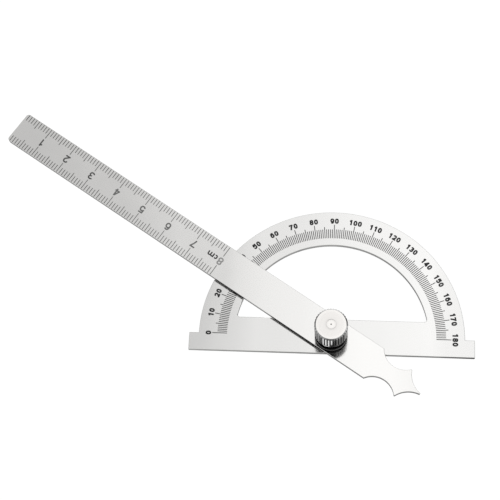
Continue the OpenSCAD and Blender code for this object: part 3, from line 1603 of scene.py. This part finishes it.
@dataclass
class Washers:
    """The washer under the arm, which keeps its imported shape, and the one under the nut."""

    finishes: Finishes
    body: str = "washer"
    slot: str = "washer_steel"
    bore_r: float = 2.05
    edge_bevel: float = 0.06
    round_steps: int = 96

    def under_arm(self) -> None:
        """Gives the friction washer the dark finish that paints the shade between the plate and the arm."""
        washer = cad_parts["friction_washer"]
        washer.data.materials.clear()
        washer.data.materials.append(self.finishes.washer)
        LOG.info("friction_washer: packed node, new finish")

    def under_nut(self) -> None:
        """Turns the nut's washer, painted dark as shade, with a faint painted highlight on its edge."""
        low, high = levels("nut_washer")
        outer_r, bevel = node_size("nut_washer", X, End.HIGH), self.edge_bevel
        profile = [
            (self.bore_r, low),
            (outer_r - bevel, low),
            (outer_r, low + bevel),
            (outer_r, high - bevel),
            (outer_r - bevel, high),
            (self.bore_r, high),
        ]
        mesh = lathe(profile, self.round_steps, "nut_washer_steel")
        smooth(mesh)
        for polygon in mesh.polygons:
            polygon.material_index = 1 if math.hypot(*polygon.center.xy) > outer_r - bevel else 0
        finishes = (self.finishes.washer, self.finishes.washer_edge)
        place_piece("nut_washer_steel", mesh, finishes, self.body, "nut_washer")

    def build(self) -> None:
        """Makes both washers."""
        self.under_arm()
        self.under_nut()


@dataclass
class ThumbNut:
    """The tall blind nut: turned top, straight knurl and a narrower neck."""

    finishes: Finishes
    body: str = "nut"
    slot: str = "nut_plated"
    bore_r: float = 2.05
    neck_r: float = 3.6
    neck_height: float = 3.0
    neck_fillet: float = 0.3
    neck_fillet_steps: int = 8
    foot_bevel: float = 0.1
    crown: float = 1.8
    top_bevel: float = 0.45
    rim_height: float = 0.45
    rim_bevel: float = 0.1
    groove_width: float = 0.4
    groove_depth: float = 0.3
    rib_count: int = 36
    flute_depth: float = 0.28
    flute_width: float = 0.45
    rib_sink: float = 0.03
    rib_turn: float = 3.1
    centre_mark_r: float = 0.2
    centre_mark_depth: float = 0.25
    ring_groove_r: float = 1.48
    ring_groove_half: float = 0.05
    ring_groove_depth: float = 0.015
    round_steps: int = 144

    def profile(self) -> Loop:
        """The nut's section without its ribs.

        Returns:
            Its corners, from the middle of the nut's top round to the middle of the hole's end.
        """
        foot, top = levels("knurled_nut")
        outer_r = node_size("knurled_nut", X, End.HIGH)
        root_r = outer_r - self.flute_depth
        collar = foot + self.neck_height
        fillet_middle = (self.neck_r + self.neck_fillet, collar - self.neck_fillet)
        fillet = arc(fillet_middle, self.neck_fillet, 90.0, 180.0, self.neck_fillet_steps)
        ring, half = self.ring_groove_r, self.ring_groove_half
        groove_middle = collar + self.rim_height + self.groove_width / 2.0
        return [
            (0.0, top - self.centre_mark_depth),
            (self.centre_mark_r, top),
            (ring - half, top),
            (ring, top - self.ring_groove_depth),
            (ring + half, top),
            (outer_r - self.top_bevel, top),
            (root_r, top - self.top_bevel + self.flute_depth),
            (root_r, groove_middle + self.groove_width / 2.0),
            (outer_r - self.groove_depth, groove_middle),
            (outer_r, groove_middle - self.groove_width / 2.0),
            (outer_r, collar + self.rim_bevel),
            (outer_r - self.rim_bevel, collar),
            *fillet,
            (self.neck_r, foot + self.foot_bevel),
            (self.neck_r - self.foot_bevel, foot),
            (self.bore_r, foot),
            (self.bore_r, top - self.crown),
            (0.0, top - self.crown),
        ]

    def rib_tree(self) -> bpy.types.NodeTree:
        """A tree that stands tapered ribs round the nut.

        Returns:
            The tree, whose ribs are wide at the root and narrow at the crest, with sloping ends.
        """
        number = ("NodeSocketFloat", 1.0)
        inputs = {
            "Count": ("NodeSocketInt", 1),
            "Root Radius": number,
            "Crest Radius": number,
            "Root Width": number,
            "Crest Width": number,
            "Root Low": number,
            "Root High": number,
            "Crest Low": number,
            "Crest High": number,
            "Plating": ("NodeSocketMaterial", None),
            "Flank Shade Plating": ("NodeSocketMaterial", None),
        }
        writer, given, result = new_tree(
            "knurl_ribs", "GeometryNodeTree", inputs, {"Geometry": "NodeSocketGeometry"}
        )
        box = writer.add("GeometryNodeMeshCube", {"Size": (1.0, 1.0, 1.0)})
        unit = writer.add("ShaderNodeSeparateXYZ", {0: writer.add("GeometryNodeInputPosition").outputs[0]})
        at_crest = writer.math("GREATER_THAN", unit.outputs[0], 0.0)
        at_top = writer.math("GREATER_THAN", unit.outputs[2], 0.0)

        def between(share: Any, first: str, second: str) -> bpy.types.NodeSocket:
            """The first given size where the share is 0, and the second where it is 1."""
            difference = writer.math("SUBTRACT", given.outputs[second], given.outputs[first])
            return writer.math("MULTIPLY_ADD", share, difference, given.outputs[first])

        low = between(at_crest, "Root Low", "Crest Low")
        high = between(at_crest, "Root High", "Crest High")
        corner = writer.add(
            "ShaderNodeCombineXYZ",
            {
                0: between(at_crest, "Root Radius", "Crest Radius"),
                1: writer.math("MULTIPLY", unit.outputs[1], between(at_crest, "Root Width", "Crest Width")),
                2: writer.math("MULTIPLY_ADD", at_top, writer.math("SUBTRACT", high, low), low),
            },
        )
        facing = writer.add("ShaderNodeSeparateXYZ", {0: writer.add("GeometryNodeInputNormal").outputs[0]})
        is_flank = writer.math("GREATER_THAN", writer.math("ABSOLUTE", facing.outputs[1]), FACING)
        noted = writer.add("GeometryNodeCaptureAttribute", {"Geometry": box.outputs["Mesh"]}, domain="FACE")
        noted.capture_items.new("BOOLEAN", "Flank")
        writer.tree.links.new(is_flank, noted.inputs["Flank"])
        rib = writer.add(
            "GeometryNodeSetPosition",
            {"Geometry": noted.outputs["Geometry"], "Position": corner.outputs[0]},
        )
        points = writer.add("GeometryNodePoints", {"Count": given.outputs["Count"]})
        full_turn = writer.math("DIVIDE", 2.0 * math.pi, given.outputs["Count"])
        turn = writer.math("MULTIPLY", writer.add("GeometryNodeInputIndex").outputs[0], full_turn)
        rotation = writer.add("ShaderNodeCombineXYZ", {2: turn})
        copies = writer.add(
            "GeometryNodeInstanceOnPoints",
            {"Points": points.outputs[0], "Instance": rib.outputs[0], "Rotation": rotation.outputs[0]},
        )
        real = writer.add("GeometryNodeRealizeInstances", {"Geometry": copies.outputs[0]})
        plated = writer.add(
            "GeometryNodeSetMaterial",
            {"Geometry": real.outputs[0], "Material": given.outputs["Plating"]},
        )
        # The flanks take the dark plating that paints the shade in the flutes.
        flanked = writer.add(
            "GeometryNodeSetMaterial",
            {
                "Geometry": plated.outputs[0],
                "Selection": noted.outputs["Flank"],
                "Material": given.outputs["Flank Shade Plating"],
            },
        )
        writer.tree.links.new(flanked.outputs[0], result.inputs["Geometry"])
        return writer.tree

    def ribs(self) -> None:
        """Stands the knurl's ribs on the nut."""
        foot, top = levels("knurled_nut")
        outer_r = node_size("knurled_nut", X, End.HIGH)
        root_r = outer_r - self.flute_depth - self.rib_sink
        rib_foot = foot + self.neck_height + self.rim_height + self.groove_width
        pitch = 2.0 * math.pi * outer_r / self.rib_count
        crest_width = pitch - self.flute_width
        share = root_r / outer_r
        values = {
            "Count": self.rib_count,
            "Root Radius": root_r,
            "Crest Radius": outer_r,
            "Root Width": pitch * share,
            "Crest Width": crest_width,
            "Root Low": rib_foot,
            "Root High": top - self.top_bevel + (outer_r - root_r),
            "Crest Low": rib_foot,
            "Crest High": top - self.top_bevel,
            "Plating": self.finishes.knurl,
            "Flank Shade Plating": self.finishes.flank,
        }
        mesh = grow(self.rib_tree(), values, "knurl_ribs")
        mesh.transform(Matrix.Rotation(math.radians(self.rib_turn), 4, "Z"))
        place_piece("knurl_ribs", mesh, (), self.body)

    def core(self) -> None:
        """Turns the nut's body.

        Its top is bright, and its rim and the bevel over the knurl are duller. Its neck, its groove and its
        centre mark are painted dark for the shade in and under them, and the wall between the ribs has the
        flutes' painted shade.
        """
        mesh = lathe(self.profile(), self.round_steps, "thumb_nut")
        smooth(mesh)
        foot, top = levels("knurled_nut")
        collar = foot + self.neck_height
        groove_foot = collar + self.rim_height
        # The dark slot paints the shade on the neck, in the groove and in the centre mark; the flute slot
        # paints the shade between the ribs.
        bright, dark, rim, flute, rolled = range(5)
        zone_tops = (
            (collar + self.rim_bevel, dark),
            (groove_foot, rim),
            (groove_foot + self.groove_width, dark),
            (top - self.top_bevel, flute),
            (top - self.ring_groove_depth, rolled),
        )
        for polygon in mesh.polygons:
            height = polygon.center.z
            at_mark = math.hypot(*polygon.center.xy) < self.centre_mark_r
            above = [finish for zone_top, finish in zone_tops if height < zone_top]
            polygon.material_index = dark if at_mark else (above or [bright])[0]
        dress = self.finishes
        finishes = (dress.nut, dress.neck, dress.rim, dress.flank, dress.knurl)
        place_piece("thumb_nut", mesh, finishes, self.body, "knurled_nut")

    def build(self) -> None:
        """Makes every piece of the nut."""
        self.core()
        self.ribs()


@dataclass
class Studio:
    """The camera, the white table and the room, which is soft and bright behind the tool."""

    camera_place: tuple[float, float, float] = (3.684, -119.114, 407.267)
    camera_turn: tuple[float, float, float] = (19.892, 3.134, 2.767)
    focal_length: float = 101.544
    film_width: float = 36.0
    sight: Span = (0.01, 20.0)
    table_half: float = 2000.0
    table_drop: float = 0.05
    table_glow: float = 0.92
    table_paint: float = 0.2
    table_plain: float = 0.8
    glow_ends: Span = (50.0, 72.0)
    least_up: float = 0.05
    panel_tones: tuple[Point, ...] = (
        (-0.5, 0.52),
        (-0.257, 0.565),
        (-0.167, 0.63),
        (-0.125, 0.71),
        (-0.1, 0.715),
        (-0.086, 0.8),
        (-0.068, 0.93),
        (-0.05, 0.965),
        (-0.034, 0.995),
        (0.0, 1.065),
        (0.02, 1.095),
        (0.045, 1.145),
        (0.08, 1.14),
        (0.3, 1.0),
    )
    front_edge: Span = (-0.3, -0.5)
    front_tone: float = 0.75
    panel_edge: Span = (0.06, 0.2)
    ceiling_edge: Span = (0.4, 0.56)
    ceiling_tones: Span = (0.01, 0.24)
    ceiling_right_edge: Span = (0.1, 0.2)
    ceiling_left_edges: tuple[Span, Span] = ((-0.1, -0.2), (-0.08, 0.02))
    ceiling_left_tone: float = 0.5
    lamp_middle: float = 0.05
    lamp_edge: Span = (0.22, 0.1)
    lamp_tone: float = 0.7
    back_wall_edges: tuple[Span, Span] = ((0.5, 0.3), (0.1, 0.4))
    back_wall_tone: float = 0.42
    strip_edges: tuple[Span, Span, Span] = ((0.56, 0.46), (0.3, 0.38), (0.35, 0.6))
    strip_tone: float = 0.02
    front_wall_edges: tuple[Span, Span] = ((0.5, 0.4), (-0.1, -0.5))
    front_wall_side_edge: Span = (0.2, 0.6)
    front_wall_tones: Span = (0.25, 0.5)

    def camera(self) -> None:
        """Sets the camera where the photograph was taken from."""
        data = bpy.data.cameras.new("camera")
        data.lens = self.focal_length
        data.sensor_width = self.film_width
        data.clip_start, data.clip_end = self.sight
        camera = bpy.data.objects.new("camera", data)
        camera.location = Vector(self.camera_place) * MM
        camera.rotation_euler = [math.radians(turn) for turn in self.camera_turn]
        bpy.context.scene.collection.objects.link(camera)
        bpy.context.scene.camera = camera

    def table(self) -> None:
        """Lays a white table that glows for what sees it directly and keeps a faint shadow."""
        mesh = bpy.data.meshes.new("table")
        side, drop = self.table_half * MM, -self.table_drop * MM
        corners = [(-side, -side, drop), (side, -side, drop), (side, side, drop), (-side, side, drop)]
        mesh.from_pydata(corners, [], [(0, 1, 2, 3)])
        material = bpy.data.materials.new("white_table")
        material.use_nodes = True
        material.node_tree.nodes.clear()
        writer = TreeWriter(material.node_tree)
        path = writer.add("ShaderNodeLightPath")
        glossy, through = path.outputs["Is Glossy Ray"], path.outputs["Is Transmission Ray"]
        mirrored = writer.math("MAXIMUM", glossy, through)
        near, far = (end * MM for end in self.glow_ends)
        close_by = writer.add(
            "ShaderNodeMapRange",
            {
                "Value": path.outputs["Ray Length"],
                "From Min": near,
                "From Max": far,
                "To Min": 1.0,
                "To Max": 0.0,
            },
        )
        seen = writer.math("MAXIMUM", path.outputs["Is Camera Ray"], mirrored)
        dimmed = writer.math("MULTIPLY", mirrored, writer.math("SUBTRACT", 1.0, close_by.outputs[0]))
        strength = writer.math("MULTIPLY_ADD", dimmed, -self.table_glow, self.table_glow)
        paint = writer.add("ShaderNodeBsdfDiffuse", {"Color": grey(self.table_paint)})
        plain = writer.add("ShaderNodeBsdfDiffuse", {"Color": grey(self.table_plain)})
        glow = writer.add("ShaderNodeEmission", {"Color": grey(1.0), "Strength": strength})
        lit = writer.add("ShaderNodeAddShader", {0: paint.outputs[0], 1: glow.outputs[0]})
        mix = writer.add("ShaderNodeMixShader", {0: seen, 1: plain.outputs[0], 2: lit.outputs[0]})
        writer.add("ShaderNodeOutputMaterial", {"Surface": mix.outputs[0]})
        mesh.materials.append(material)
        table = bpy.data.objects.new("table", mesh)
        bpy.context.scene.collection.objects.link(table)

    def surroundings(self) -> None:
        """Surrounds the tool with a room whose tones depend on the direction only.

        A direction's lean is its X or Y for one unit of height. A pale panel hangs behind the tool
        and fades towards the ruler end. The ceiling before it is dark, grey on its right and paler
        on its left, and a soft lamp hangs in it. The room's front is pale. Low down there are a
        grey wall behind, a front wall that is darker in its middle, and a dark strip on the right.
        """
        world = bpy.data.worlds.new("studio")
        world.use_nodes = True
        world.node_tree.nodes.clear()
        writer = TreeWriter(world.node_tree)
        direction = writer.add("ShaderNodeTexCoord").outputs["Generated"]
        way_x, way_y, way_z = writer.add("ShaderNodeSeparateXYZ", {0: direction}).outputs
        up = writer.math("MAXIMUM", way_z, self.least_up)
        lean_x, lean_y = writer.math("DIVIDE", way_x, up), writer.math("DIVIDE", way_y, up)

        def edge(value: Any, span: Span) -> bpy.types.NodeSocket:
            """A soft step from 0 at the span's start to 1 at its end."""
            inputs = {"Value": value, "From Min": span[0], "From Max": span[1]}
            return writer.add("ShaderNodeMapRange", inputs, interpolation_type="SMOOTHSTEP").outputs[0]

        def both(first: Any, second: Any) -> bpy.types.NodeSocket:
            """Where two steps meet."""
            return writer.math("MULTIPLY", first, second)

        def distance(middle_y: float) -> bpy.types.NodeSocket:
            """How far a direction leans away from one that leans back by the given amount."""
            back = writer.math("POWER", writer.math("SUBTRACT", lean_y, middle_y), 2.0)
            return writer.math("SQRT", writer.math("MULTIPLY_ADD", lean_x, lean_x, back))

        panel = writer.shade(lean_x, self.panel_tones)
        tone = writer.blend(edge(lean_y, self.front_edge), panel, grey(self.front_tone))

        left_x, left_y = self.ceiling_left_edges
        dark, right = (grey(level) for level in self.ceiling_tones)
        overhead = writer.blend(edge(lean_x, self.ceiling_right_edge), dark, right)
        on_left = both(edge(lean_x, left_x), edge(lean_y, left_y))
        overhead = writer.blend(on_left, overhead, grey(self.ceiling_left_tone))
        at_lamp = edge(distance(self.lamp_middle), self.lamp_edge)
        overhead = writer.blend(at_lamp, overhead, grey(self.lamp_tone))
        past_ceiling = edge(distance(0.0), self.ceiling_edge)
        past_ceiling = writer.math("MAXIMUM", edge(lean_y, self.panel_edge), past_ceiling)
        tone = writer.blend(past_ceiling, overhead, tone)

        low_z, back_y = self.back_wall_edges
        tone = writer.blend(both(edge(way_z, low_z), edge(way_y, back_y)), tone, grey(self.back_wall_tone))

        top_z, foot_z, right_x = self.strip_edges
        strip = both(both(edge(way_z, top_z), edge(way_z, foot_z)), edge(way_x, right_x))
        tone = writer.blend(strip, tone, grey(self.strip_tone))

        low_z, front_y = self.front_wall_edges
        aside = edge(writer.math("ABSOLUTE", way_x), self.front_wall_side_edge)
        front = writer.blend(aside, *(grey(level) for level in self.front_wall_tones))
        tone = writer.blend(both(edge(way_z, low_z), edge(way_y, front_y)), tone, front)
        background = writer.add("ShaderNodeBackground", {"Color": tone, "Strength": 1.0})
        path = writer.add("ShaderNodeLightPath")
        white = writer.add("ShaderNodeBackground", {"Color": grey(1.0), "Strength": 1.0})
        mix = writer.add(
            "ShaderNodeMixShader",
            {0: path.outputs["Is Camera Ray"], 1: background.outputs[0], 2: white.outputs[0]},
        )
        writer.add("ShaderNodeOutputWorld", {"Surface": mix.outputs[0]})
        bpy.context.scene.world = world

    def build(self) -> None:
        """Makes the whole studio."""
        self.camera()
        self.table()
        self.surroundings()
        bpy.context.scene.view_settings.view_transform = "Standard"
        LOG.info("studio: camera, table and surroundings")


def main() -> None:
    """Builds every sub-assembly in order."""
    logging.basicConfig(level=logging.INFO, format="%(name)s: %(message)s")
    arm_angle = 147.08
    Studio().build()
    finishes = Finishes.make(arm_angle)
    trees = GraduationTrees()
    ProtractorPlate(finishes, trees).build()
    RulerArm(finishes, trees, arm_angle).build()
    PivotStud(finishes).build()
    Washers(finishes).build()
    ThumbNut(finishes).build()


if __name__ == "__main__":
    main()
